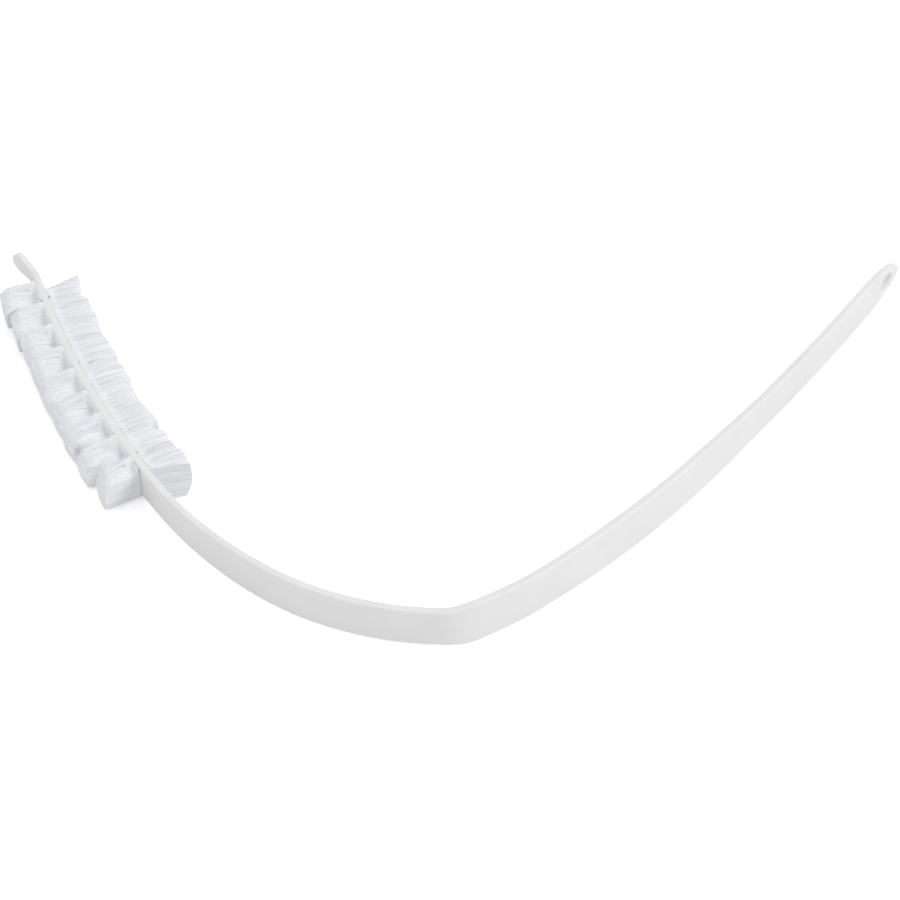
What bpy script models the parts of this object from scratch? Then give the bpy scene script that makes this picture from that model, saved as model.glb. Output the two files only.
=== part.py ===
"""A washing machine cleaning brush: one flat moulded strap that stands on its edge, bent at an elbow,
with nine bundles of bristle through slots in its head, each held by a flat wire anchor.

Metres, +Z up. The hanging end runs along +X. The origin is on the strap's lower edge, in the middle of the
palm.
"""

import math
import random

import bmesh
import bpy
from mathutils import Matrix, Vector

MM = 0.001

# Strap section
STRAP_THICKNESS = 2.8 * MM
EDGE_ROUND = 0.55 * MM

# Strap plan, from the hanging tip to the nose: lengths along the middle of the strap, turns to the right
HANGING_LENGTH = 35.0 * MM
GRIP_LENGTH = 111.3 * MM
GRIP_TURN_DEG = 5.46
PALM_LENGTH = 80.3 * MM
PALM_TURN_DEG = 10.63
HEEL_LENGTH = 30.5 * MM
HEEL_TURN_DEG = 11.73
ELBOW_LENGTH = 11.7 * MM
ELBOW_TURN_DEG = 28.49
LOWER_NECK_LENGTH = 67.9 * MM
LOWER_NECK_TURN_DEG = 34.07
UPPER_NECK_LENGTH = 62.3 * MM
UPPER_NECK_TURN_DEG = 20.99
HEAD_TURN_DEG = 13.8
NOSE_LENGTH = 22.5 * MM
NOSE_TURN_DEG = -29.0

# Strap widths, measured up its standing edge
HANGING_WIDTH = 17.4 * MM
PALM_WIDTH = 20.0 * MM
HEEL_WIDTH = 19.1 * MM
NECK_WIDTH = 16.9 * MM
CORE_ROOT_WIDTH = 15.4 * MM
CORE_TIP_WIDTH = 11.0 * MM
NOSE_NECK_WIDTH = 7.0 * MM
NOSE_WIDTH = 9.0 * MM

# Where the widths change
SWELL_START = 70.0 * MM
PALM_FLAT = 45.0 * MM
TONGUE_LENGTH = 27.0 * MM
TONGUE_TIP_WIDTH = 3.6 * MM
NOSE_NECK_START = 8.0 * MM
NOSE_ROUND_LENGTH = 5.5 * MM
NOSE_TIP_WIDTH = 2.6 * MM

# Hanging hole
HOLE_LENGTH = 8.4 * MM
HOLE_HEIGHT = 7.4 * MM
HOLE_FROM_TIP = 10.5 * MM

# Bristle rows
ROW_COUNT = 9
ROW_PITCH = 14.15 * MM
HEAD_START_MARGIN = 8.0 * MM
HEAD_END_MARGIN = 4.0 * MM
ROW_SKEW_DEG = -3.0
SLOT_LENGTH = 5.6 * MM
SLOT_END_WALL = 1.9 * MM
CLEARANCE = 0.3 * MM

# One bundle of bristle
BRISTLE_REACH = 14.8 * MM
FAN_FIRST_TOP = 9.2 * MM
FAN_LAST_TOP = 5.6 * MM
FAN_DEPTH = 10.5 * MM
FAN_LEAN_BACK = 2.0 * MM
ROOT_PROUD = 0.45 * MM
TUFT_GAP = 0.4 * MM
STRANDS_ALONG = 4
STRANDS_UP = 6
STRAND_ROOT_GAP = 0.14 * MM
STRAND_TIP_FILL = 0.74
RAGGED_ENDS = 0.7 * MM
RAGGED_SEED = 5

# Flat wire anchor across each bundle's waist
ANCHOR_WIDTH = 1.2 * MM
ANCHOR_THICKNESS = 0.5 * MM
ANCHOR_BITE = 0.7 * MM

# Mesh fineness
LONGEST_STEP = 7.0 * MM
LARGEST_STEP_TURN_DEG = 2.2
ROUND_STEPS = 7
PATH_STEPS = 60

HEAD_LENGTH = HEAD_START_MARGIN + (ROW_COUNT - 1) * ROW_PITCH + HEAD_END_MARGIN
MIDDLE_HEIGHT = PALM_WIDTH / 2

STRETCHES = (
    ("hanging", HANGING_LENGTH, 0.0),
    ("grip", GRIP_LENGTH, GRIP_TURN_DEG),
    ("palm", PALM_LENGTH, PALM_TURN_DEG),
    ("heel", HEEL_LENGTH, HEEL_TURN_DEG),
    ("elbow", ELBOW_LENGTH, ELBOW_TURN_DEG),
    ("lower_neck", LOWER_NECK_LENGTH, LOWER_NECK_TURN_DEG),
    ("upper_neck", UPPER_NECK_LENGTH, UPPER_NECK_TURN_DEG),
    ("head", HEAD_LENGTH, HEAD_TURN_DEG),
    ("nose", NOSE_LENGTH, NOSE_TURN_DEG),
)


def stretch_start(name):
    """Distance along the strap from the hanging tip to where a stretch starts."""
    distance = 0.0
    for stretch, length, _ in STRETCHES:
        if stretch == name:
            return distance
        distance += length
    return distance


STRAP_LENGTH = stretch_start("end")


def travel(distance):
    """Plan place and heading after a distance, starting at the hanging tip and heading along -X."""
    place = Vector((0.0, 0.0))
    heading = math.pi
    for _, length, turn in STRETCHES:
        run = min(distance, length)
        turned = math.radians(turn) * run / length
        for step in range(PATH_STEPS):
            middle = heading - turned * (step + 0.5) / PATH_STEPS
            place += Vector((math.cos(middle), math.sin(middle))) * run / PATH_STEPS
        heading -= turned
        distance -= run
        if distance <= 0:
            break
    return place, heading


REST_DISTANCE = stretch_start("palm") + PALM_FLAT / 2
REST_PLACE = travel(REST_DISTANCE)[0]


def strap_frame(distance):
    """Matrix at the middle of the strap: X along the strap, Y out of its outer face, Z up."""
    place, heading = travel(distance)
    place -= REST_PLACE
    return Matrix.Translation((place.x, place.y, MIDDLE_HEIGHT)) @ Matrix.Rotation(heading, 4, "Z")


def eased(fraction):
    return fraction * fraction * (3 - 2 * fraction)


def rounded_end(distance, length, width, tip_width):
    """Width of an end outline that swells from its tip as a quarter ellipse."""
    left = 1 - min(distance / length, 1.0)
    return tip_width + (width - tip_width) * math.sqrt(1 - left * left)


def strap_width(distance):
    """Width of the flat strap, with its two rounded ends."""
    stations = (
        (0.0, HANGING_WIDTH),
        (stretch_start("grip") + SWELL_START, HANGING_WIDTH),
        (stretch_start("palm"), PALM_WIDTH),
        (stretch_start("palm") + PALM_FLAT, PALM_WIDTH),
        (stretch_start("heel"), HEEL_WIDTH),
        (stretch_start("elbow"), HEEL_WIDTH),
        (stretch_start("lower_neck"), NECK_WIDTH),
        (stretch_start("upper_neck"), NECK_WIDTH),
        (stretch_start("head"), CORE_ROOT_WIDTH),
        (stretch_start("nose"), CORE_TIP_WIDTH),
        (stretch_start("nose") + NOSE_NECK_START, NOSE_NECK_WIDTH),
        (STRAP_LENGTH - NOSE_ROUND_LENGTH, NOSE_WIDTH),
        (STRAP_LENGTH, NOSE_WIDTH),
    )
    width = stations[-1][1]
    for (start, first), (end, last) in zip(stations, stations[1:]):
        if start <= distance < end:
            width = first + (last - first) * eased((distance - start) / (end - start))
    width = min(width, rounded_end(distance, TONGUE_LENGTH, width, TONGUE_TIP_WIDTH))
    return min(width, rounded_end(STRAP_LENGTH - distance, NOSE_ROUND_LENGTH, width, NOSE_TIP_WIDTH))


def strap_stations():
    """Distances along the strap at which its outline has points, close together where it turns."""
    ends = [TONGUE_LENGTH * (1 - math.cos(math.pi / 2 * k / ROUND_STEPS)) for k in range(ROUND_STEPS)]
    nose = [
        STRAP_LENGTH - NOSE_ROUND_LENGTH * (1 - math.cos(math.pi / 2 * k / ROUND_STEPS))
        for k in range(ROUND_STEPS)
    ]
    found = set(ends + nose)
    for name, length, turn in STRETCHES:
        steps = max(math.ceil(length / LONGEST_STEP), math.ceil(abs(turn) / LARGEST_STEP_TURN_DEG))
        start = stretch_start(name)
        found.update(start + length * k / steps for k in range(steps))
    inner = [d for d in found if TONGUE_LENGTH < d < STRAP_LENGTH - NOSE_ROUND_LENGTH]
    return sorted(ends + [TONGUE_LENGTH] + inner + [STRAP_LENGTH - NOSE_ROUND_LENGTH] + nose)


def row_distance(row):
    """Distance along the strap to a bristle row's middle."""
    return stretch_start("head") + HEAD_START_MARGIN + row * ROW_PITCH


def slot_height(row):
    """Height of a row's slot, which leaves a wall above and below where the core is narrowest beside it."""
    near_nose = row_distance(row) + SLOT_LENGTH / 2
    return strap_width(near_nose) - 2 * SLOT_END_WALL


def material(name, color, roughness, metallic=0.0):
    made = bpy.data.materials.new(name)
    made.use_nodes = True
    shader = made.node_tree.nodes["Principled BSDF"]
    shader.inputs["Base Color"].default_value = (*color, 1.0)
    shader.inputs["Roughness"].default_value = roughness
    shader.inputs["Metallic"].default_value = metallic
    return made


def add_object(name, bm, collection, finish=None, parent=None):
    mesh = bpy.data.meshes.new(name)
    bm.to_mesh(mesh)
    bm.free()
    made = bpy.data.objects.new(name, mesh)
    collection.objects.link(made)
    made.parent = parent
    if finish:
        mesh.materials.append(finish)
    mesh.shade_smooth()
    mesh.set_sharp_from_angle(angle=math.radians(35))
    return made


def add_cutter(name, bm, collection, parent=None):
    cutter = add_object(name, bm, collection, parent=parent)
    cutter.hide_render = True
    cutter.display_type = "WIRE"
    return cutter


def box(length, depth, height):
    bm = bmesh.new()
    bmesh.ops.create_cube(bm, size=1.0)
    bmesh.ops.scale(bm, vec=(length, depth, height), verts=bm.verts)
    return bm


def cut(target, cutter):
    """Subtracts the cutter from the target."""
    modifier = target.modifiers.new("Cut " + cutter.name, "BOOLEAN")
    modifier.operation = "DIFFERENCE"
    modifier.solver = "EXACT"
    modifier.object = cutter


def add_strap(parts):
    """The strap: a ribbon that follows the plan and the widths, given its thickness and soft edges."""
    stations = strap_stations()
    bm = bmesh.new()
    bmesh.ops.create_grid(bm, x_segments=len(stations) - 1, y_segments=1, size=0.5)
    for vertex in bm.verts:
        distance = stations[round((vertex.co.x + 0.5) * (len(stations) - 1))]
        height = math.copysign(strap_width(distance) / 2, vertex.co.y)
        vertex.co = strap_frame(distance) @ Vector((0, 0, height))
    finish = material("white_polypropylene", (0.78, 0.78, 0.79), 0.42)
    strap = add_object("handle_strap", bm, parts, finish)
    solidify = strap.modifiers.new("Thickness", "SOLIDIFY")
    solidify.thickness = STRAP_THICKNESS
    solidify.offset = 0.0
    solidify.use_even_offset = True
    bevel = strap.modifiers.new("Soft edges", "BEVEL")
    bevel.width = EDGE_ROUND
    bevel.segments = 2
    bevel.limit_method = "ANGLE"
    bevel.angle_limit = math.radians(60)
    bevel.use_clamp_overlap = False
    return strap


def add_hanging_hole(strap, cutters):
    """An oval hole through the strap near its hanging tip."""
    bm = bmesh.new()
    through = 3 * STRAP_THICKNESS
    bmesh.ops.create_cone(bm, cap_ends=True, segments=24, radius1=0.5, radius2=0.5, depth=through)
    bmesh.ops.rotate(bm, matrix=Matrix.Rotation(math.pi / 2, 3, "X"), verts=bm.verts)
    bmesh.ops.scale(bm, vec=(HOLE_LENGTH, 1.0, HOLE_HEIGHT), verts=bm.verts)
    cutter = add_cutter("hanging_hole_cutter", bm, cutters)
    cutter.matrix_world = strap_frame(HOLE_FROM_TIP)
    cut(strap, cutter)


def fan_half_length(side):
    """Half the space that a bundle's cut ends have along the strap, on one side of its bend."""
    bend = math.radians(HEAD_TURN_DEG) / HEAD_LENGTH
    reach = STRAP_THICKNESS / 2 + BRISTLE_REACH
    return (ROW_PITCH * (1 + side * bend * reach) - TUFT_GAP) / 2


def fan_top(row):
    """How far a bundle's cut ends rise above the strap's middle: less in each row towards the nose."""
    return FAN_FIRST_TOP + (FAN_LAST_TOP - FAN_FIRST_TOP) * row / (ROW_COUNT - 1)


def outermost(count, waist):
    """How far the outer corners of the outer strands lie from the middle, as a share of the waist's half."""
    return 1 - 1 / count + (1 / count - STRAND_ROOT_GAP / waist) * STRAND_TIP_FILL


def grow_strands(bm, roots, waist_length, waist_height, top, side, chance):
    """Turns the grid cells of one end of the waist into strands that fan out, leaning back from the nose, to
    round, ragged cut ends."""
    most_along = outermost(STRANDS_ALONG, waist_length) * waist_length / 2
    most_up = outermost(STRANDS_UP, waist_height) * waist_height / 2
    bmesh.ops.inset_individual(bm, faces=roots, thickness=STRAND_ROOT_GAP / 2, use_even_offset=True)
    strands = bmesh.ops.extrude_discrete_faces(bm, faces=roots)["faces"]
    for strand in strands:
        middle = strand.calc_center_median()
        reach = STRAP_THICKNESS / 2 + BRISTLE_REACH - chance.uniform(0, RAGGED_ENDS)
        for vertex in strand.verts:
            corner = middle + (vertex.co - middle) * STRAND_TIP_FILL
            along, up = corner.x / most_along, corner.z / most_up
            x = along * math.sqrt(1 - up * up / 2) * fan_half_length(side) - FAN_LEAN_BACK
            z = up * math.sqrt(1 - along * along / 2) * (top if up > 0 else FAN_DEPTH)
            vertex.co = Vector((x, side * reach, max(z, -MIDDLE_HEIGHT)))


def add_tuft(row, parent, parts):
    """One bundle of bristle: a waist in the slot, and strands that fan out from both of its ends."""
    chance = random.Random(RAGGED_SEED + row)
    waist_length = SLOT_LENGTH - 2 * CLEARANCE
    waist_height = slot_height(row) - 2 * CLEARANCE
    waist_half = STRAP_THICKNESS / 2 + ROOT_PROUD
    bm = bmesh.new()
    grids = {}
    for side in (1, -1):
        facing = Matrix.Translation((0, side * waist_half, 0)) @ Matrix.Rotation(-side * math.pi / 2, 4, "X")
        made = bmesh.ops.create_grid(
            bm, x_segments=STRANDS_ALONG, y_segments=STRANDS_UP, size=0.5, matrix=facing
        )
        bmesh.ops.scale(bm, vec=(waist_length, 1.0, waist_height), verts=made["verts"])
        grids[side] = list(dict.fromkeys(face for vertex in made["verts"] for face in vertex.link_faces))
    rims = [edge for edge in bm.edges if edge.is_boundary]
    bmesh.ops.bridge_loops(bm, edges=rims)
    bmesh.ops.recalc_face_normals(bm, faces=bm.faces)
    for side in (1, -1):
        grow_strands(bm, grids[side], waist_length, waist_height, fan_top(row), side, chance)
    finish = material(f"white_bristle_{row + 1}", (0.83, 0.83, 0.85), 0.55)
    return add_object(f"bristle_tuft_{row + 1}", bm, parts, finish, parent)


def add_row(row, strap, parts, cutters):
    """A bristle row: the slot in the strap, its anchor's pockets, the bundle and the anchor."""
    place = bpy.data.objects.new(f"row_{row + 1}", None)
    place.empty_display_size = SLOT_LENGTH
    parts.objects.link(place)
    place.matrix_world = strap_frame(row_distance(row)) @ Matrix.Rotation(math.radians(ROW_SKEW_DEG), 4, "Z")
    anchor_height = slot_height(row) + 2 * ANCHOR_BITE
    slot = box(SLOT_LENGTH, 3 * STRAP_THICKNESS, slot_height(row))
    cut(strap, add_cutter(f"slot_cutter_{row + 1}", slot, cutters, place))
    pocket = box(
        ANCHOR_WIDTH + 2 * CLEARANCE, ANCHOR_THICKNESS + 2 * CLEARANCE, anchor_height + 2 * CLEARANCE
    )
    pocket_cutter = add_cutter(f"anchor_pocket_cutter_{row + 1}", pocket, cutters, place)
    cut(strap, pocket_cutter)
    cut(add_tuft(row, place, parts), pocket_cutter)
    finish = material(f"anchor_wire_{row + 1}", (0.55, 0.55, 0.56), 0.35, 1.0)
    wire = box(ANCHOR_WIDTH, ANCHOR_THICKNESS, anchor_height)
    add_object(f"tuft_anchor_{row + 1}", wire, parts, finish, place)


def build():
    for old in list(bpy.data.objects):
        bpy.data.objects.remove(old)
    parts = bpy.data.collections.new("washing_machine_cleaning_brush")
    cutters = bpy.data.collections.new("cutters")
    bpy.context.scene.collection.children.link(parts)
    bpy.context.scene.collection.children.link(cutters)
    strap = add_strap(parts)
    add_hanging_hole(strap, cutters)
    for row in range(ROW_COUNT):
        add_row(row, strap, parts, cutters)


build()
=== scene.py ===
"""The looks of a washing machine cleaning brush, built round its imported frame.

Metres, in the frame of the CAD solids: the strap stands on its edge, the hanging end runs along +X, and the
origin is on the lower edge in the middle of the palm. Side 1 is the outer side of the bend, and side -1 the
inner side.
"""

import math
from collections import namedtuple

import bmesh
import bpy
import numpy as np
from mathutils import Matrix, Vector


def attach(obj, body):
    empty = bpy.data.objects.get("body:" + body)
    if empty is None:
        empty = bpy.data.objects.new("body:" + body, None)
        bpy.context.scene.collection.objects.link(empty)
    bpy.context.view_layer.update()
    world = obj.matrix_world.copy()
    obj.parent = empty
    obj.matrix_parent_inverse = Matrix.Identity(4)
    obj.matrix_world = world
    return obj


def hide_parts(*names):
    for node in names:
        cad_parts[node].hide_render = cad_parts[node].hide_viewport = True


MM = 0.001

# The strap's plan, as the solids have it: each stretch with its length and its turn in degrees
THICKNESS = 2.8 * MM
MIDDLE_HEIGHT = 10.0 * MM
REST_DISTANCE = 168.8 * MM
HEAD_LENGTH = 125.2 * MM
HEAD_TURN_DEG = 13.8
STRETCHES = (
    ("hanging", 35.0 * MM, 0.0),
    ("grip", 111.3 * MM, 5.46),
    ("palm", 80.3 * MM, 10.63),
    ("heel", 30.5 * MM, 11.73),
    ("elbow", 11.7 * MM, 28.49),
    ("lower_neck", 67.9 * MM, 34.07),
    ("upper_neck", 62.3 * MM, 20.99),
    ("head", HEAD_LENGTH, HEAD_TURN_DEG),
    ("nose", 22.5 * MM, -29.0),
)
TRAVEL_STEPS = 40

# The strap's edges and ends
TONGUE_LENGTH = 27.0 * MM
NOSE_ROUND_LENGTH = 5.5 * MM
EDGE_ROUND = 0.62 * MM
HEAD_EDGE_ROUND = 0.3 * MM
EDGE_CHANGE_LENGTH = 10.0 * MM
MOST_ROUND_SHARE = 0.9
TIP_ROUND = 0.31 * MM
TIP_THINNING = 0.4
LEAST_TIP_WIDTH_SHARE = 0.03
STATION_STEP = 1.5 * MM
END_STEPS = 24
EDGE_STEPS = 5
SHARP_ANGLE_DEG = 40.0

# Hanging hole and the slots that the bundles pass through
HOLE_SIZE = (8.4 * MM, 7.4 * MM)
HOLE_FROM_TIP = 10.5 * MM
HOLE_STEPS = 48
MOUTH_CHAMFER = 0.5 * MM
CUTTER_OVERSHOOT = 1.0 * MM
CUTTER_END_GROWTH = 0.2 * MM
ROW_COUNT = 9
ROW_PITCH = 14.15 * MM
HEAD_START_MARGIN = 8.0 * MM
ROW_SKEW = math.radians(-3.0)
SLOT_LENGTH = 5.6 * MM
SLOT_END_WALL = 1.9 * MM
SLOT_CORNER_ROUND = 0.9 * MM
SLOT_CORNER_STEPS = 6
BUNDLE_CLEARANCE = 0.25 * MM

# Angle between steps that spreads places evenly round a circle
GOLDEN_ANGLE = 2.4

# A place in a fan is given by across, from -1 at its elbow side to 1 at its nose side, by up, from -1 at its
# bottom to 1 at its top, and by its share of the fan's reach, from 0 at the strap's face to 1 at the tips.

# How each bundle stands at its tips, from the elbow to the nose: the outer fan, then the inner one. In mm,
# a fan has its reach from the strap's face, how much more that is at its nose side than in the middle, how
# much less it is in a part that is cut shorter, the distances of its top and bottom from the middle of the
# strap, how far these lean towards the nose, and half its length along the strap. The shorter part lies on
# the nose side of cut_from in the inner fan, and on the elbow side of minus cut_from in the outer fan.
Fan = namedtuple("Fan", "reach slant cut_from cut top bottom lean_top lean_bottom half_length")
FANS = (
    (
        Fan(14.8, 0.0, 1.0, 0.0, 7.2, 9.3, -0.5, 0.4, 4.0),
        Fan(15.1, -0.2, 0.0, 1.2, 8.8, 9.8, -2.8, -2.8, 7.1),
    ),
    (
        Fan(15.1, 0.8, 0.0, 4.2, 6.9, 9.0, -4.3, -2.3, 7.3),
        Fan(14.6, -0.2, -0.15, 3.0, 8.4, 9.6, -2.9, -2.9, 7.4),
    ),
    (
        Fan(14.3, 1.1, 0.3, 3.8, 6.7, 9.2, -4.3, -1.8, 7.3),
        Fan(14.1, -1.5, 1.0, 0.0, 8.0, 9.4, -2.8, -2.8, 7.5),
    ),
    (
        Fan(14.0, 0.6, 1.0, 0.0, 6.4, 9.0, -4.4, -1.8, 7.3),
        Fan(13.9, -0.4, 1.0, 0.0, 7.6, 9.2, -2.8, -2.8, 7.5),
    ),
    (
        Fan(13.9, 0.6, 1.0, 0.0, 6.2, 8.8, -4.4, -2.0, 7.3),
        Fan(15.0, -1.1, -0.15, 0.8, 7.2, 9.0, -2.6, -2.6, 7.5),
    ),
    (
        Fan(13.4, 0.5, 0.4, 0.3, 5.9, 8.6, -4.4, -2.0, 7.3),
        Fan(14.9, -1.0, 1.0, 0.0, 6.8, 8.8, -2.2, -2.2, 7.5),
    ),
    (
        Fan(13.1, 0.6, 0.4, 0.6, 5.6, 8.4, -4.4, -2.0, 7.3),
        Fan(15.0, 0.3, 1.0, 0.0, 6.4, 8.6, -2.2, -2.2, 7.5),
    ),
    (
        Fan(13.8, 0.0, 1.0, 0.0, 5.4, 8.2, -4.4, -2.0, 7.2),
        Fan(15.0, -0.2, 0.35, 2.0, 6.0, 8.4, -2.6, -2.6, 7.4),
    ),
    (
        Fan(14.9, 0.0, 1.0, 0.0, 5.1, 8.0, -4.0, -2.1, 6.8),
        Fan(13.8, 1.2, 1.0, 0.0, 5.3, 8.2, -3.4, -3.4, 5.8),
    ),
)
# Distance across over which the shorter part gets its full depth
CUT_RAMP = 0.3
# How much less than in the middle the reach is, in mm: at the outer fan's top and the inner fan's bottom,
# at the opposite edge, and at both sides
STEEP_DOME = 3.2
FLAT_DOME = 0.5
SIDE_DOME = 0.2

# A pair of values below is for the outer and the inner fan. How round a fan's section is: how much its
# sides draw in towards the top and bottom, and these towards the sides. The last two are added at the first
# bundle's elbow side, which no other bundle stands beside.
END_ROUND = 0.1
TOP_ROUND = 0.12
FREE_END_ROUNDS = (0.15, -0.1)
FREE_TOP_ROUNDS = (0.2, 0.0)
# At the share RISE_END a fan has its full height and RISE_SPREAD of its spread along the strap, and at
# SPREAD_END it has all of that. The first bundle's elbow side has FREE_ROOT_SPREAD of its spread at
# RISE_END, and all of it only at the tips.
RISE_END = 0.008
RISE_SPREAD = 0.85
SPREAD_END = 0.07
FREE_ROOT_SPREAD = 0.38
# Height of a fan's top over the strap's upper edge at its root, and the share where it has its own height
ROOT_TOPS = (0.1 * MM, -0.2 * MM)
ROOT_TOP_END = 0.5
# Hollow in a fan's top beside the strap, and the shares where it is deepest and where it has ended
HOLLOW_DEPTHS = (2.7 * MM, 0.0 * MM)
HOLLOW_BOTTOM = 0.12
HOLLOW_END = 0.85
# How much lower than its nose side a top's elbow side is, and the share from which it is all of that
ELBOW_DROPS = (0.9 * MM, 0.6 * MM)
ELBOW_DROP_FULL = 0.3
# Where across the hollow and the elbow side's drop start, and the distance over which they deepen
SLOPE_START = 0.9
SLOPE_WIDTH = 1.3
# How far a top bends down at the tips, and the power of the share that it follows
TIP_DROPS = (1.0 * MM, 0.5 * MM)
TIP_DROP_POWER = 5
# How far the last bundle's nose side drops at its root, and where across that starts
NOSE_DROPS = (0.5 * MM, 6.0 * MM)
NOSE_DROP_START = -0.2
# Groove between two locks of fibre on a fan's top: its middle across, and the shares where it starts and
# ends. Its wander from row to row and its width are across the fan too, and its ramps are shares.
CREASES = ((0.4, 0.28, 0.6), (0.75, 0.17, 0.45))
CREASE_WANDER = 0.06
CREASE_DEPTH = 1.7 * MM
CREASE_WIDTH = 0.04
CREASE_START_RAMP = 0.08
CREASE_END_RAMP = 0.12
# Up to this share a fan still follows the skewed and bent strap
ROOT_SKEW_END = 0.3

# Fibres on the outside of a bundle run from tip to tip, and those inside it only show their cut ends. Their
# paths have points at these shares.
FIBRE_RADIUS = 0.14 * MM
FIBRE_RADIUS_RANGE = (0.85, 1.1)
FIBRE_SIDES = 4
SHELL_FIBRES = 300
SHELL_SHARES = (0.0, 0.008, 0.025, 0.055, 0.09, 0.14, 0.2, 0.28, 0.37, 0.48, 0.62, 0.78, 0.98, 1.0)
SHELL_PLACE_STRAY = 0.3
END_FIBRES = 1800
END_SHARES = (0.93, 0.985, 1.0)
# Steps that spread the end fibres evenly over a square, how far they stray, and how much of it they fill
EVEN_STEPS = (0.7548776662, 0.5698402910)
END_STRAY = 0.01
END_FILL = 0.96
ANCHOR_HALF_LENGTH = 0.8 * MM
# Locks of fibre in a fan: how much of it they fill, how far they stray, how much their tips close up, and
# how much their reach varies
CLUMPS = 11
CLUMP_FILL = 0.95
CLUMP_STRAY = 0.06
CLUMP_PULL = 0.05
CLUMP_REACH_STRAY = 0.03 * MM
# How much a single fibre's reach varies, how far its tip strays, and how much of that it bows on the way
FIBRE_REACH_STRAY = 0.045 * MM
FIBRE_STRAY = 0.1 * MM
FIBRE_BOW = 0.6
SEED = 21

# Packed inside of a fan: how much of the section it fills, and the shares of its face and its rings, which
# lie closer together near the root. Those round its edge have their distance past it and their width.
HEART_FILL = 0.984
HEART_END = 0.993
HEART_SIDE_STEPS = 24
HEART_ROOT_SHARES = (-0.04, 0.0, RISE_END)
HEART_FIRST_SHARE = 0.0095
HEART_LAST_SHARE = HEART_END - 0.03
HEART_RINGS = 16
HEART_EDGE = ((-0.012, 0.998), (0.0, 0.988))
HEART_FACE_PAST = 0.001
HEART_FACE_WIDTHS = (0.975, 0.85, 0.65, 0.45, 0.25, 0.1)

# Lightness from 0 to 1: a fan's packed inside and its face, a strand and how much it varies, its cut ends.
# The face and the cut ends are painted light: lighter than the strands so that the weakly lit tips look
# bright.
HEART_TINT = 0.5
FACE_PAINTED_LIGHT_TINT = 0.9
STRAND_TINT = 0.52
STRAND_TINT_STRAY = 0.07
MOST_STRAND_TINT = 0.95
CUT_END_PAINTED_LIGHT_TINT = 1.0

# UV map of a bundle: heights of the bands for its outer fibres and for each side's end fibres and inside, how
# many end fibres lie side by side in a band, and how much of its cell each fills
UV_BANDS = (0.4, 0.2, 0.1, 0.2, 0.1)
END_COLUMNS = 30
CELL_FILL = 0.9

# The photograph's view and its light
CAMERA_AZIMUTH_DEG = 305.38
CAMERA_ELEVATION_DEG = 45.0
CAMERA_DISTANCE_MM = 830.2
CAMERA_TARGET_MM = (-14.32, 83.51, 1.35)
CAMERA_LENS = 88.0
CAMERA_SENSOR = 36.0
WORLD_STRENGTH = 0.775
FLOOR_GLOW = 0.4
FLOOR_HALF_SIZE = 4.0
LIGHT_BOUNCES = 24
DIFFUSE_BOUNCES = 20


def smooth(value):
    """0 below 0, 1 above 1, and a soft step between."""
    value = np.clip(value, 0, 1)
    return value * value * (3 - 2 * value)


def stretch_start(name):
    distance = 0.0
    for stretch, length, _ in STRETCHES:
        if stretch == name:
            return distance
        distance += length
    return distance


STRAP_LENGTH = stretch_start("end")


def travel(distance):
    """Plan place and heading after a distance, starting at the hanging tip and heading along -X."""
    place = Vector((0.0, 0.0))
    heading = math.pi
    for _, length, turn in STRETCHES:
        run = min(distance, length)
        turned = math.radians(turn) * run / length
        for step in range(TRAVEL_STEPS):
            middle = heading - turned * (step + 0.5) / TRAVEL_STEPS
            place += Vector((math.cos(middle), math.sin(middle))) * run / TRAVEL_STEPS
        heading -= turned
        distance -= run
        if distance <= 0:
            break
    return place, heading


REST_PLACE = travel(REST_DISTANCE)[0]


def strap_frame(distance):
    """Matrix at the middle of the strap: X along the strap, Y out of its outer face, Z up."""
    place, heading = travel(distance)
    place -= REST_PLACE
    return Matrix.Translation((place.x, place.y, MIDDLE_HEIGHT)) @ Matrix.Rotation(heading, 4, "Z")


def strap_width(distance):
    """Width of the strap, up its standing edge, before its two ends are rounded."""
    stations_and_mm = (
        (0.0, 17.4),
        (stretch_start("grip") + 70 * MM, 17.4),
        (stretch_start("palm"), 20.0),
        (stretch_start("palm") + 45 * MM, 20.0),
        (stretch_start("heel"), 19.1),
        (stretch_start("elbow"), 19.1),
        (stretch_start("lower_neck"), 16.9),
        (stretch_start("upper_neck"), 16.9),
        (stretch_start("head"), 15.4),
        (stretch_start("nose"), 11.0),
        (stretch_start("nose") + 8 * MM, 7.0),
        (STRAP_LENGTH - NOSE_ROUND_LENGTH, 9.0),
        (STRAP_LENGTH + 1 * MM, 9.0),
    )
    for (start, first), (end, last) in zip(stations_and_mm, stations_and_mm[1:]):
        if start <= distance < end:
            share = float(smooth((distance - start) / (end - start)))
            return (first + (last - first) * share) * MM
    return stations_and_mm[-1][1] * MM


def row_distance(row):
    return stretch_start("head") + HEAD_START_MARGIN + row * ROW_PITCH


def row_frame(row):
    return strap_frame(row_distance(row)) @ Matrix.Rotation(ROW_SKEW, 4, "Z")


def slot_height(row):
    return strap_width(row_distance(row) + SLOT_LENGTH / 2) - 2 * SLOT_END_WALL


def shader_material(name, base, roughness):
    """A new material and its Principled shader, with the values that are the same all over."""
    made = bpy.data.materials.new(name)
    made.use_nodes = True
    shader = made.node_tree.nodes["Principled BSDF"]
    shader.inputs["Base Color"].default_value = (*base, 1.0)
    shader.inputs["Roughness"].default_value = roughness
    return made, shader


def add_noise(tree, scale, detail=4.0, stretch=(1.0, 1.0, 1.0)):
    """Noise over the object's own place, in cells of 1 / scale metres."""
    place = tree.nodes.new("ShaderNodeTexCoord")
    mapping = tree.nodes.new("ShaderNodeMapping")
    mapping.inputs["Scale"].default_value = stretch
    noise = tree.nodes.new("ShaderNodeTexNoise")
    noise.inputs["Scale"].default_value = scale
    noise.inputs["Detail"].default_value = detail
    tree.links.new(place.outputs["Object"], mapping.inputs["Vector"])
    tree.links.new(mapping.outputs["Vector"], noise.inputs["Vector"])
    return noise.outputs["Fac"]


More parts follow.
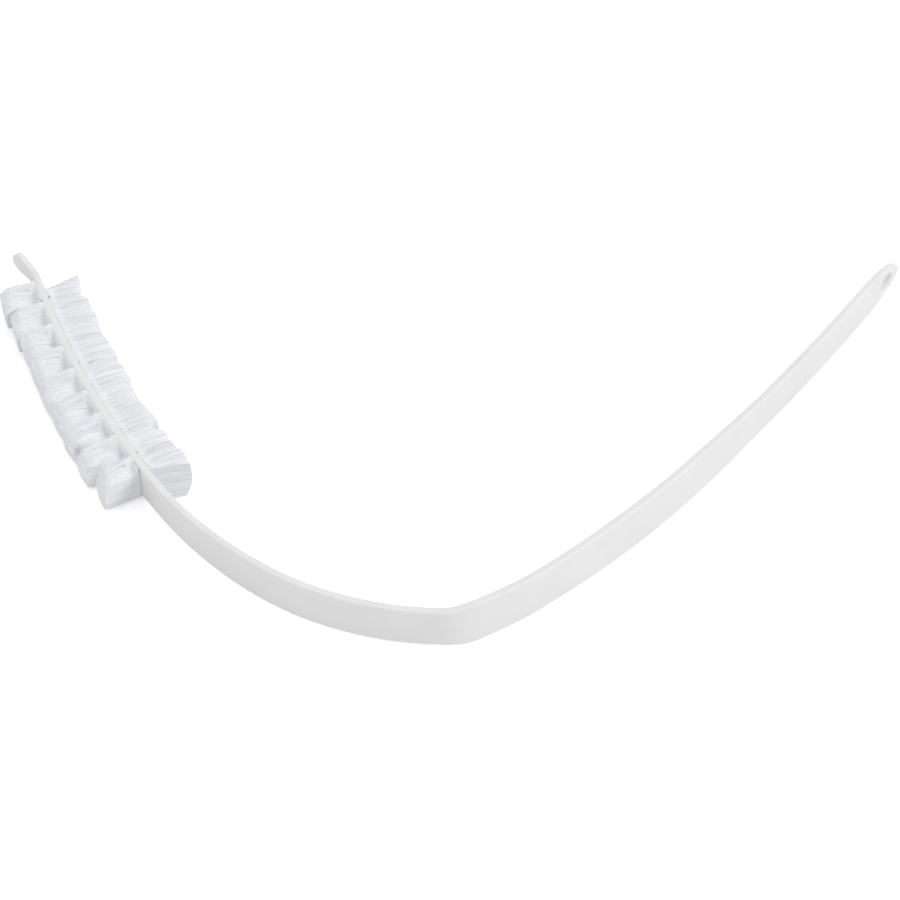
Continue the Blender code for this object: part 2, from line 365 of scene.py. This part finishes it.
def ramp(tree, value, low, high, low_at=0.3, high_at=0.7):
    """A colour that runs from low to high with the value."""
    made = tree.nodes.new("ShaderNodeValToRGB")
    made.color_ramp.elements[0].position = low_at
    made.color_ramp.elements[0].color = (*low, 1.0)
    made.color_ramp.elements[1].position = high_at
    made.color_ramp.elements[1].color = (*high, 1.0)
    tree.links.new(value, made.inputs["Fac"])
    return made.outputs["Color"]


def bump(tree, height, strength, distance, before=None):
    """A bumped normal, on top of the one before it if there is one."""
    made = tree.nodes.new("ShaderNodeBump")
    made.inputs["Strength"].default_value = strength
    made.inputs["Distance"].default_value = distance
    tree.links.new(height, made.inputs["Height"])
    if before:
        tree.links.new(before, made.inputs["Normal"])
    return made.outputs["Normal"]


def plastic_material():
    """White moulded polypropylene: faint clouding, satin shine that varies, fine grain over slow waves."""
    made, shader = shader_material("moulded_polypropylene", (0.79, 0.79, 0.79), 0.4)
    tree = made.node_tree
    clouds = ramp(tree, add_noise(tree, 60, 3), (0.775, 0.775, 0.775), (0.805, 0.805, 0.805))
    tree.links.new(clouds, shader.inputs["Base Color"])
    shine = tree.nodes.new("ShaderNodeMapRange")
    shine.inputs["To Min"].default_value = 0.36
    shine.inputs["To Max"].default_value = 0.5
    tree.links.new(add_noise(tree, 300, 3), shine.inputs["Value"])
    tree.links.new(shine.outputs["Result"], shader.inputs["Roughness"])
    waves = bump(tree, add_noise(tree, 45, 1), 0.25, 0.6 * MM)
    grain = bump(tree, add_noise(tree, 2600, 4), 0.12, 0.05 * MM, waves)
    tree.links.new(grain, shader.inputs["Normal"])
    shader.inputs["Subsurface Weight"].default_value = 0.12
    shader.inputs["Subsurface Radius"].default_value = (1.0, 0.9, 0.85)
    shader.inputs["Subsurface Scale"].default_value = 1.5 * MM
    return made


def fibre_material():
    """White nylon fibre with fine grain, lighter or darker with its tint: strands vary at random, and the cut
    ends and tip faces carry painted light.
    """
    made, shader = shader_material("nylon_fibre", (0.86, 0.86, 0.88), 0.45)
    tree = made.node_tree
    tint = tree.nodes.new("ShaderNodeAttribute")
    tint.attribute_name = "tint"
    strands = ramp(tree, tint.outputs["Fac"], (0.8, 0.808, 0.843), (0.97, 0.977, 1.0), 0.0, 1.0)
    tree.links.new(strands, shader.inputs["Base Color"])
    grain = bump(tree, add_noise(tree, 6000, 2), 0.1, 0.02 * MM)
    tree.links.new(grain, shader.inputs["Normal"])
    return made


def wire_material():
    """Plain flat steel wire with fine drawing marks along it."""
    made, shader = shader_material("anchor_steel", (0.55, 0.55, 0.56), 0.35)
    tree = made.node_tree
    shader.inputs["Metallic"].default_value = 1.0
    marks = add_noise(tree, 4000, 3, (1.0, 1.0, 0.05))
    tree.links.new(ramp(tree, marks, (0.48, 0.48, 0.49), (0.62, 0.62, 0.63)), shader.inputs["Base Color"])
    tree.links.new(bump(tree, marks, 0.2, 0.01 * MM), shader.inputs["Normal"])
    return made


def floor_material():
    """Pale floor that the camera sees as white, and that still takes the object's shadow."""
    made, shader = shader_material("pale_floor", (0.9, 0.9, 0.9), 0.9)
    tree = made.node_tree
    grain = add_noise(tree, 180, 3)
    tree.links.new(ramp(tree, grain, (0.89, 0.89, 0.89), (0.91, 0.91, 0.91)), shader.inputs["Base Color"])
    shader.inputs["Specular IOR Level"].default_value = 0.0
    light = tree.nodes.new("ShaderNodeEmission")
    light.inputs["Strength"].default_value = FLOOR_GLOW
    both = tree.nodes.new("ShaderNodeAddShader")
    pick = tree.nodes.new("ShaderNodeMixShader")
    rays = tree.nodes.new("ShaderNodeLightPath")
    tree.links.new(shader.outputs["BSDF"], both.inputs[0])
    tree.links.new(light.outputs["Emission"], both.inputs[1])
    tree.links.new(rays.outputs["Is Camera Ray"], pick.inputs["Fac"])
    tree.links.new(shader.outputs["BSDF"], pick.inputs[1])
    tree.links.new(both.outputs["Shader"], pick.inputs[2])
    tree.links.new(pick.outputs["Shader"], tree.nodes["Material Output"].inputs["Surface"])
    return made


def add_piece(name, mesh, material, replaced):
    """A piece of the brush that rides on its one body, in place of a CAD node."""
    piece = bpy.data.objects.new(name, mesh)
    bpy.context.scene.collection.objects.link(piece)
    mesh.materials.clear()
    mesh.materials.append(material)
    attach(piece, "root")
    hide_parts(replaced)
    return piece


def ring_mesh(name, rings):
    """A closed skin over these rings of points, with a flat face on each end."""
    bm = bmesh.new()
    rings = [[bm.verts.new(point) for point in ring] for ring in rings]
    for first, second in zip(rings, rings[1:]):
        for k in range(len(first)):
            after = (k + 1) % len(first)
            bm.faces.new((first[k], first[after], second[after], second[k]))
    bm.faces.new(rings[0])
    bm.faces.new(reversed(rings[-1]))
    bmesh.ops.recalc_face_normals(bm, faces=bm.faces)
    mesh = bpy.data.meshes.new(name)
    bm.to_mesh(mesh)
    bm.free()
    return mesh


def edge_round(distance):
    """Radius of the strap's long edges, which are crisper along the head."""
    start = stretch_start("head")
    inside = min(distance - start, stretch_start("nose") - distance) / EDGE_CHANGE_LENGTH
    return EDGE_ROUND + (HEAD_EDGE_ROUND - EDGE_ROUND) * float(smooth(inside))


def section(half_width, half_thickness, edge_radius):
    """Points round a rounded rectangle: Y out of the outer face, Z up."""
    radius = min(edge_radius, MOST_ROUND_SHARE * half_thickness, MOST_ROUND_SHARE * half_width)
    points = []
    for corner, (side_y, side_z) in enumerate(((1, 1), (-1, 1), (-1, -1), (1, -1))):
        for step in range(EDGE_STEPS + 1):
            angle = math.pi / 2 * (corner + step / EDGE_STEPS)
            y = side_y * (half_thickness - radius) + radius * math.cos(angle)
            z = side_z * (half_width - radius) + radius * math.sin(angle)
            points.append((y, z))
    return points


def strap_stations():
    """(distance, share of the width, share of the thickness) along the strap, with its two ends rounded."""
    found = []
    for length, sign, end in ((TONGUE_LENGTH, 1, 0.0), (NOSE_ROUND_LENGTH, -1, STRAP_LENGTH)):
        for step in range(END_STEPS + 1):
            angle = math.pi / 2 * step / END_STEPS
            along = length * (1 - math.cos(angle))
            edge = 1 - min(along / TIP_ROUND, 1.0)
            thick = 1 - TIP_THINNING * (1 - math.sqrt(1 - edge * edge))
            found.append((end + sign * along, max(math.sin(angle), LEAST_TIP_WIDTH_SHARE), thick))
    steps = round((STRAP_LENGTH - TONGUE_LENGTH - NOSE_ROUND_LENGTH) / STATION_STEP)
    middle = np.linspace(TONGUE_LENGTH, STRAP_LENGTH - NOSE_ROUND_LENGTH, steps + 1)[1:-1]
    return sorted(found + [(distance, 1.0, 1.0) for distance in middle])


def strap_mesh():
    """The strap as one swept skin, its section changing along the way."""
    rings = []
    for distance, wide, thick in strap_stations():
        place = strap_frame(distance)
        ring = section(strap_width(distance) * wide / 2, THICKNESS * thick / 2, edge_round(distance))
        rings.append([place @ Vector((0, y, z)) for y, z in ring])
    return ring_mesh("strap", rings)


def mouth_cutter(name, outline, place):
    """A hole through the strap with the outline's shape, and a chamfer at both of its mouths."""
    half = THICKNESS / 2
    levels = [
        (-half - CUTTER_OVERSHOOT, MOUTH_CHAMFER + CUTTER_END_GROWTH),
        (-half, MOUTH_CHAMFER),
        (-half + MOUTH_CHAMFER, 0.0),
    ]
    levels += [(-y, grow) for y, grow in reversed(levels)]
    rings = []
    for y, grow in levels:
        ring = [(x + normal_x * grow, y, z + normal_z * grow) for x, z, normal_x, normal_z in outline]
        rings.append([place @ Vector(point) for point in ring])
    cutter = bpy.data.objects.new(name, ring_mesh(name, rings))
    bpy.context.scene.collection.objects.link(cutter)
    return cutter


def oval(length, height):
    """(x, z, normal x, normal z) round an oval."""
    found = []
    for step in range(HOLE_STEPS):
        angle = math.tau * step / HOLE_STEPS
        normal = Vector((math.cos(angle) / length, math.sin(angle) / height)).normalized()
        found.append((length / 2 * math.cos(angle), height / 2 * math.sin(angle), *normal))
    return found


def round_slot(length, height, radius):
    """(x, z, normal x, normal z) round an upright slot with round corners."""
    found = []
    for corner, (side_x, side_z) in enumerate(((1, 1), (-1, 1), (-1, -1), (1, -1))):
        for step in range(SLOT_CORNER_STEPS + 1):
            angle = math.pi / 2 * (corner + step / SLOT_CORNER_STEPS)
            normal = (math.cos(angle), math.sin(angle))
            x = side_x * (length / 2 - radius) + radius * normal[0]
            z = side_z * (height / 2 - radius) + radius * normal[1]
            found.append((x, z, *normal))
    return found


def add_strap(material):
    """The strap, with its hanging hole and the slots of its head cut through."""
    strap = add_piece("strap_body", strap_mesh(), material, "handle_strap")
    cutters = [mouth_cutter("hole_cutter", oval(*HOLE_SIZE), strap_frame(HOLE_FROM_TIP))]
    for row in range(ROW_COUNT):
        outline = round_slot(SLOT_LENGTH, slot_height(row), SLOT_CORNER_ROUND)
        cutters.append(mouth_cutter(f"slot_cutter_{row + 1}", outline, row_frame(row)))
    for cutter in cutters:
        modifier = strap.modifiers.new("Cut", "BOOLEAN")
        modifier.operation = "DIFFERENCE"
        modifier.solver = "EXACT"
        modifier.object = cutter
    graph = bpy.context.evaluated_depsgraph_get()
    cut_mesh = bpy.data.meshes.new_from_object(strap.evaluated_get(graph))
    strap.modifiers.clear()
    strap.data = cut_mesh
    for cutter in cutters:
        bpy.data.objects.remove(cutter)
    cut_mesh.shade_smooth()
    cut_mesh.set_sharp_from_angle(angle=math.radians(SHARP_ANGLE_DEG))


def tip_reach(row, side, across, up):
    """How far the tips of a fan stand from the strap's face."""
    fan = FANS[row][side < 0]
    dome = np.where(side * up > 0, STEEP_DOME, FLAT_DOME)
    short = fan.cut * smooth((-side * across - fan.cut_from) / CUT_RAMP)
    return (fan.reach + fan.slant * across - short - dome * up**2 - SIDE_DOME * across**2) * MM


def waist_size(row):
    """Half length along the strap and half height of a bundle where it leaves its slot."""
    return SLOT_LENGTH / 2 - BUNDLE_CLEARANCE, slot_height(row) / 2 - BUNDLE_CLEARANCE


def crease_middle(row, side):
    """Place of a fan's crease across it, a little off on each row."""
    return CREASES[side < 0][0] + CREASE_WANDER * math.sin(GOLDEN_ANGLE * row)


def crease_depth(row, side, across, share):
    """How deep the crease is at a place in a fan's top."""
    _, start, end = CREASES[side < 0]
    away = (across - crease_middle(row, side)) / CREASE_WIDTH
    opened = smooth((share - start) / CREASE_START_RAMP)
    closed = smooth((share - end) / CREASE_END_RAMP)
    return CREASE_DEPTH * np.exp(-(away**2)) * opened * (1 - closed)


def top_drop(row, side, across, share):
    """How far a fan's top lies below its plain height."""
    hollow = HOLLOW_DEPTHS[side < 0] * (1 - smooth(share / HOLLOW_END)) * smooth(share / HOLLOW_BOTTOM)
    elbow_side = hollow + ELBOW_DROPS[side < 0] * smooth(share / ELBOW_DROP_FULL)
    drop = elbow_side * smooth((SLOPE_START - across) / SLOPE_WIDTH)
    drop = drop + TIP_DROPS[side < 0] * share**TIP_DROP_POWER + crease_depth(row, side, across, share)
    if row == ROW_COUNT - 1:
        drop = drop + NOSE_DROPS[side < 0] * smooth(across - NOSE_DROP_START) * (1 - share)
    return drop


def fan_place(row, side, across, up, share):
    """Distance along the strap and height of a place in a fan, from the middle of its slot."""
    top, bottom, lean_top, lean_bottom, half_length = (value * MM for value in FANS[row][side < 0][4:])
    half_x, half_z = waist_size(row)
    free = smooth(-across) if row == 0 else np.zeros_like(across)
    wide = half_length * across * np.sqrt(1 - (END_ROUND + FREE_END_ROUNDS[side < 0] * free) * up**2)
    wide = wide + lean_bottom + (lean_top - lean_bottom) * smooth(0.5 + 0.5 * up)
    top_round = np.sqrt(1 - (TOP_ROUND + FREE_TOP_ROUNDS[side < 0] * free) * across**2)
    high = np.where(up > 0, top, bottom) * up * top_round
    root_top = slot_height(row) / 2 + SLOT_END_WALL + ROOT_TOPS[side < 0]
    to_root = (root_top * up - high) * (1 - smooth(share / ROOT_TOP_END))
    high = np.where(up > 0, high + to_root, high)
    high = high - top_drop(row, side, across, share) * np.clip(up, 0, 1)
    risen = smooth(share / RISE_END)
    spread = RISE_SPREAD * risen + (1 - RISE_SPREAD) * smooth(share / SPREAD_END)
    free_spread = (FREE_ROOT_SPREAD + (1 - FREE_ROOT_SPREAD) * share) * risen
    spread = spread * (1 - free) + free_spread * free
    x = across * half_x + (wide - across * half_x) * spread
    z = up * half_z + (high - up * half_z) * risen
    return x, z


def fan_depth(side, x, outward, share):
    """Place of a fan's point across the strap, whose face is skewed and bent where the fan has its root."""
    bend = math.radians(HEAD_TURN_DEG) / HEAD_LENGTH
    skewed = -x * math.sin(ROW_SKEW) - x**2 * bend / 2
    return side * (THICKNESS / 2 + outward) + skewed * (1 - smooth(share / ROOT_SKEW_END))


def fan_paths(row, side, across, up, shares, chance):
    """Points along every fibre of one fan, at these shares of its reach, in the row's own frame."""
    count = len(across)
    share = np.array(shares)
    centres = np.array([(math.sin(GOLDEN_ANGLE * k), math.cos(GOLDEN_ANGLE * k)) for k in range(CLUMPS)])
    centres *= np.sqrt((np.arange(CLUMPS)[:, None] + 0.5) / CLUMPS) * CLUMP_FILL
    centres += chance.normal(0, CLUMP_STRAY, centres.shape)
    clump = ((across[:, None] - centres[:, 0]) ** 2 + (up[:, None] - centres[:, 1]) ** 2).argmin(axis=1)
    pull = CLUMP_PULL * share**2
    across_now = across[:, None] + (centres[clump, 0] - across)[:, None] * pull
    up_now = up[:, None] + (centres[clump, 1] - up)[:, None] * pull
    x, z = fan_place(row, side, across_now, up_now, share[None, :])
    bow = np.sin(math.pi * share) * FIBRE_BOW + share**2
    x = x + chance.normal(0, FIBRE_STRAY, count)[:, None] * bow
    z = z + chance.normal(0, FIBRE_STRAY, count)[:, None] * bow
    clump_reach = chance.normal(0, CLUMP_REACH_STRAY, CLUMPS)
    reach = tip_reach(row, side, across, up) + clump_reach[clump] + chance.normal(0, FIBRE_REACH_STRAY, count)
    y = fan_depth(side, x, reach[:, None] * share, share)
    z = np.maximum(z, -MIDDLE_HEIGHT + FIBRE_RADIUS)
    return np.stack((x, y, z), axis=2)


def shell_places(chance):
    """Places across and up of the outer fibres, round a square that is 2 wide and so 8 round its edge."""
    strays = chance.uniform(-SHELL_PLACE_STRAY, SHELL_PLACE_STRAY, SHELL_FIBRES)
    turn = (np.arange(SHELL_FIBRES) + strays) * 8 / SHELL_FIBRES
    across = np.clip(np.abs(turn % 8 - 4) - 2, -1, 1)
    up = np.clip(np.abs((turn + 2) % 8 - 4) - 2, -1, 1)
    return across, up


def bundle_paths(row, chance):
    """Points along a bundle's outer fibres, from the inner tips past the anchor wire to the outer tips."""
    half_x, half_z = waist_size(row)
    across, up = shell_places(chance)
    outer = fan_paths(row, 1, across, up, SHELL_SHARES, chance)
    inner = fan_paths(row, -1, across, up, SHELL_SHARES, chance)
    beside_anchor = ANCHOR_HALF_LENGTH + np.abs(across) * (half_x - ANCHOR_HALF_LENGTH)
    waist = np.stack((np.sign(across) * beside_anchor, np.zeros_like(up), up * half_z), axis=1)
    return np.concatenate((inner[:, ::-1], waist[:, None, :], outer), axis=1)


def end_paths(row, side, chance):
    """Points along the last stretch of the fibres inside a fan, whose cut ends make its face."""
    spread = np.modf(np.arange(END_FIBRES)[:, None] * EVEN_STEPS)[0] * 2 - 1
    spread = (spread + chance.normal(0, END_STRAY, spread.shape)) * END_FILL
    return fan_paths(row, side, spread[:, 0], spread[:, 1], END_SHARES, chance)


def heart_outline(row, side):
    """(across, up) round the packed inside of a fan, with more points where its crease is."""
    edge = np.linspace(-1, 1, HEART_SIDE_STEPS, endpoint=False)
    crease = (crease_middle(row, side) + CREASE_WIDTH * np.arange(-2, 3)) / HEART_FILL
    edge = np.sort(np.concatenate((edge, -crease)))
    ones = np.ones_like(edge)
    across = np.concatenate((edge, ones, -edge, -ones)) * HEART_FILL
    up = np.concatenate((-ones, edge, ones, -edge)) * HEART_FILL
    return across, up


def heart_mesh(row, side):
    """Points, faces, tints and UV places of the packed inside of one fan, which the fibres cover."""
    across, up = heart_outline(row, side)
    shares = np.linspace(HEART_FIRST_SHARE**0.5, HEART_LAST_SHARE**0.5, HEART_RINGS) ** 2
    levels = [(share, 1.0) for share in (*HEART_ROOT_SHARES, *shares)]
    levels += [(HEART_END + past, wide) for past, wide in HEART_EDGE]
    levels += [(HEART_END + HEART_FACE_PAST, wide) for wide in HEART_FACE_WIDTHS]
    rings = []
    for share, wide in levels:
        x, z = fan_place(row, side, across * wide, up * wide, max(share, 0.0))
        y = fan_depth(side, x, tip_reach(row, side, across * wide, up * wide) * share, share)
        rings.append(np.stack((x, y, np.maximum(z, -MIDDLE_HEIGHT + 2 * FIBRE_RADIUS)), axis=1))
    count = len(across)
    index = np.arange(len(rings) * count).reshape(len(rings), count)
    after = np.roll(index, -1, axis=1)
    faces = np.stack((index[:-1], index[1:], after[1:], after[:-1]), axis=2).reshape(-1, 4)
    ring, step = np.divmod(index, count)
    around = np.stack((step[:-1], step[:-1], step[:-1] + 1, step[:-1] + 1), axis=2) / count
    outward = np.stack((ring[:-1], ring[1:], ring[1:], ring[:-1]), axis=2) / len(rings)
    places = np.stack((around, outward), axis=3).reshape(-1, 4, 2)
    caps = np.stack((index[0], index[-1][::-1]))
    cap_places = np.stack((caps % count / count, caps // count / len(rings)), axis=2)
    if side < 0:
        faces, places, caps, cap_places = (part[:, ::-1] for part in (faces, places, caps, cap_places))
    places = np.concatenate((places.reshape(-1, 2), cap_places.reshape(-1, 2)))
    # The face at the tips is painted light: lighter than the packed inside, so that the weakly lit tips look
    # bright.
    tints = np.repeat([FACE_PAINTED_LIGHT_TINT if share >= HEART_END else HEART_TINT for share, _ in levels], count)
    return np.concatenate(rings), faces.tolist() + caps.tolist(), tints, places


def tube_cells(count, rings, columns):
    """Places in the UV map of the corners of these tubes' faces: each tube has its own cell of a grid."""
    tube = np.arange(count)
    lines = -(-count // columns)
    size = np.array((CELL_FILL / columns, CELL_FILL / lines))
    corner = np.stack((tube % columns / columns, tube // columns / lines), axis=1)
    ring, side = np.meshgrid(np.arange(rings - 1), np.arange(FIBRE_SIDES), indexing="ij")
    along = np.stack((ring, ring + 1, ring + 1, ring), axis=2) / (rings - 1)
    around = np.stack((side, side, side + 1, side + 1), axis=2) / FIBRE_SIDES
    sides = corner[:, None, None, None] + np.stack((along, around), axis=3) * size
    first = np.stack((np.zeros(FIBRE_SIDES), np.arange(FIBRE_SIDES) / FIBRE_SIDES), axis=1)
    last = first[::-1] + (1.0, 0.0)
    ends = [corner[:, None] + cap * size for cap in (first, last)]
    return np.concatenate([part.reshape(-1, 2) for part in (sides, *ends)])


def tubes(paths, columns, chance):
    """Points, faces, tints and UV places of one closed tube round each path, with a tint of its own and
    painted light on its cut ends.
    """
    count, rings, _ = paths.shape
    along = np.gradient(paths, axis=1)
    along /= np.linalg.norm(along, axis=2, keepdims=True)
    flat = np.cross(along, (0.0, 0.0, 1.0))
    flat /= np.linalg.norm(flat, axis=2, keepdims=True)
    rise = np.cross(flat, along)
    turn = chance.uniform(0, math.tau, count)
    angles = turn[:, None] + math.tau * np.arange(FIBRE_SIDES) / FIBRE_SIDES
    radius = FIBRE_RADIUS * chance.uniform(*FIBRE_RADIUS_RANGE, count)
    cos, sin = (radius[:, None] * f(angles) for f in (np.cos, np.sin))
    points = (
        paths[:, :, None]
        + cos[:, None, :, None] * flat[:, :, None]
        + sin[:, None, :, None] * rise[:, :, None]
    )
    index = np.arange(count * rings * FIBRE_SIDES).reshape(count, rings, FIBRE_SIDES)
    after = np.roll(index, -1, axis=2)
    sides = np.stack((index[:, :-1], index[:, 1:], after[:, 1:], after[:, :-1]), axis=3).reshape(-1, 4)
    faces = np.concatenate((sides, index[:, 0], index[:, -1, ::-1])).tolist()
    strands = np.clip(chance.normal(STRAND_TINT, STRAND_TINT_STRAY, count), 0, MOST_STRAND_TINT)
    tints = np.repeat(strands, rings * FIBRE_SIDES).reshape(count, rings, FIBRE_SIDES)
    # Painted light: each tube's first and last rings, its cut ends, are made lighter than the strand.
    tints[:, (0, -1)] = CUT_END_PAINTED_LIGHT_TINT
    return points.reshape(-1, 3), faces, tints.ravel(), tube_cells(count, rings, columns)


def joined_mesh(name, groups, heights):
    """One mesh of these groups of points, faces, tints and UV places. Each group has a band of the UV map."""
    points, faces, tints, places = [], [], [], []
    start = 0.0
    for (group_points, group_faces, group_tints, group_places), height in zip(groups, heights):
        faces += [[len(points) + corner for corner in face] for face in group_faces]
        points += group_points.tolist()
        tints.append(group_tints)
        places.append(group_places * (1.0, height) + (0.0, start))
        start += height
    mesh = bpy.data.meshes.new(name)
    mesh.from_pydata(points, [], faces)
    tint = mesh.attributes.new("tint", "FLOAT", "POINT")
    tint.data.foreach_set("value", np.concatenate(tints).astype(np.float32))
    layer = mesh.uv_layers.new(name="OFBake")
    layer.uv.foreach_set("vector", np.concatenate(places).astype(np.float32).ravel())
    mesh.shade_smooth()
    return mesh


def add_bundle(row, material):
    """One bundle of fibre in place of its blocky solid."""
    chance = np.random.default_rng(SEED + row)
    groups = [tubes(bundle_paths(row, chance), 1, chance)]
    for side in (1, -1):
        groups += [tubes(end_paths(row, side, chance), END_COLUMNS, chance), heart_mesh(row, side)]
    mesh = joined_mesh(f"fibre_{row + 1}", groups, UV_BANDS)
    mesh.transform(row_frame(row))
    add_piece(f"fibre_bundle_{row + 1}", mesh, material, f"bristle_tuft_{row + 1}")


def add_floor():
    bm = bmesh.new()
    bmesh.ops.create_grid(bm, x_segments=1, y_segments=1, size=FLOOR_HALF_SIZE)
    mesh = bpy.data.meshes.new("floor")
    bm.to_mesh(mesh)
    bm.free()
    mesh.materials.append(floor_material())
    floor = bpy.data.objects.new("floor", mesh)
    bpy.context.scene.collection.objects.link(floor)


def add_sun(name, strength, spread_deg, direction):
    """A soft light from this direction."""
    light = bpy.data.lights.new(name, "SUN")
    light.energy = strength
    light.angle = math.radians(spread_deg)
    lamp = bpy.data.objects.new(name, light)
    bpy.context.scene.collection.objects.link(lamp)
    lamp.rotation_euler = (-Vector(direction)).to_track_quat("-Z", "Y").to_euler()


def add_world():
    """Even white light. The camera and mirror-like surfaces see plain white."""
    world = bpy.data.worlds.new("studio")
    bpy.context.scene.world = world
    world.use_nodes = True
    tree = world.node_tree
    light = tree.nodes["Background"]
    light.inputs["Color"].default_value = (1, 1, 1, 1)
    light.inputs["Strength"].default_value = WORLD_STRENGTH
    white = tree.nodes.new("ShaderNodeBackground")
    white.inputs["Color"].default_value = (1, 1, 1, 1)
    rays = tree.nodes.new("ShaderNodeLightPath")
    seen = rays.outputs["Is Camera Ray"]
    for kind in ("Is Glossy Ray", "Is Transmission Ray"):
        either = tree.nodes.new("ShaderNodeMath")
        either.operation = "MAXIMUM"
        tree.links.new(seen, either.inputs[0])
        tree.links.new(rays.outputs[kind], either.inputs[1])
        seen = either.outputs["Value"]
    pick = tree.nodes.new("ShaderNodeMixShader")
    tree.links.new(seen, pick.inputs["Fac"])
    tree.links.new(light.outputs["Background"], pick.inputs[1])
    tree.links.new(white.outputs["Background"], pick.inputs[2])
    tree.links.new(pick.outputs["Shader"], tree.nodes["World Output"].inputs["Surface"])


def add_camera():
    """The photograph's view, from the outer side of the bend and above."""
    azimuth, elevation = math.radians(CAMERA_AZIMUTH_DEG), math.radians(CAMERA_ELEVATION_DEG)
    back = Vector(
        (
            math.sin(azimuth) * math.cos(elevation),
            -math.cos(azimuth) * math.cos(elevation),
            math.sin(elevation),
        )
    )
    data = bpy.data.cameras.new("camera")
    data.lens = CAMERA_LENS
    data.sensor_width = CAMERA_SENSOR
    camera = bpy.data.objects.new("camera", data)
    bpy.context.scene.collection.objects.link(camera)
    camera.location = Vector(CAMERA_TARGET_MM) * MM + back * CAMERA_DISTANCE_MM * MM
    camera.rotation_mode = "QUATERNION"
    camera.rotation_quaternion = (-back).to_track_quat("-Z", "Y")
    bpy.context.scene.camera = camera


def build(frame):
    scene = bpy.context.scene
    add_camera()
    add_world()
    add_sun("key", strength=1.0, spread_deg=25, direction=(0.35, -0.68, 0.645))
    add_sun("fill", strength=0.26, spread_deg=60, direction=(-0.75, 0.62, 0.2))
    add_floor()
    add_strap(plastic_material())
    fibre = fibre_material()
    wire = wire_material()
    for row in range(ROW_COUNT):
        add_bundle(row, fibre)
        anchor = frame["nodes"][f"tuft_anchor_{row + 1}"]
        anchor.data.materials.clear()
        anchor.data.materials.append(wire)
    scene.view_settings.view_transform = "Standard"
    scene.cycles.max_bounces = LIGHT_BOUNCES
    scene.cycles.diffuse_bounces = DIFFUSE_BOUNCES


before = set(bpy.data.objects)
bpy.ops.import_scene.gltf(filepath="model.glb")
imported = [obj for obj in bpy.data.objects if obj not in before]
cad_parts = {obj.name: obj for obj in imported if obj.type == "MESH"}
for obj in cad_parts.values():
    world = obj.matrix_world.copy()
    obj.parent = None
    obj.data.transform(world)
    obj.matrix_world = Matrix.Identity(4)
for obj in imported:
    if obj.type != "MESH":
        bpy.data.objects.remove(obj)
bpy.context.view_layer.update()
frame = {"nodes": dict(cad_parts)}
build(frame)
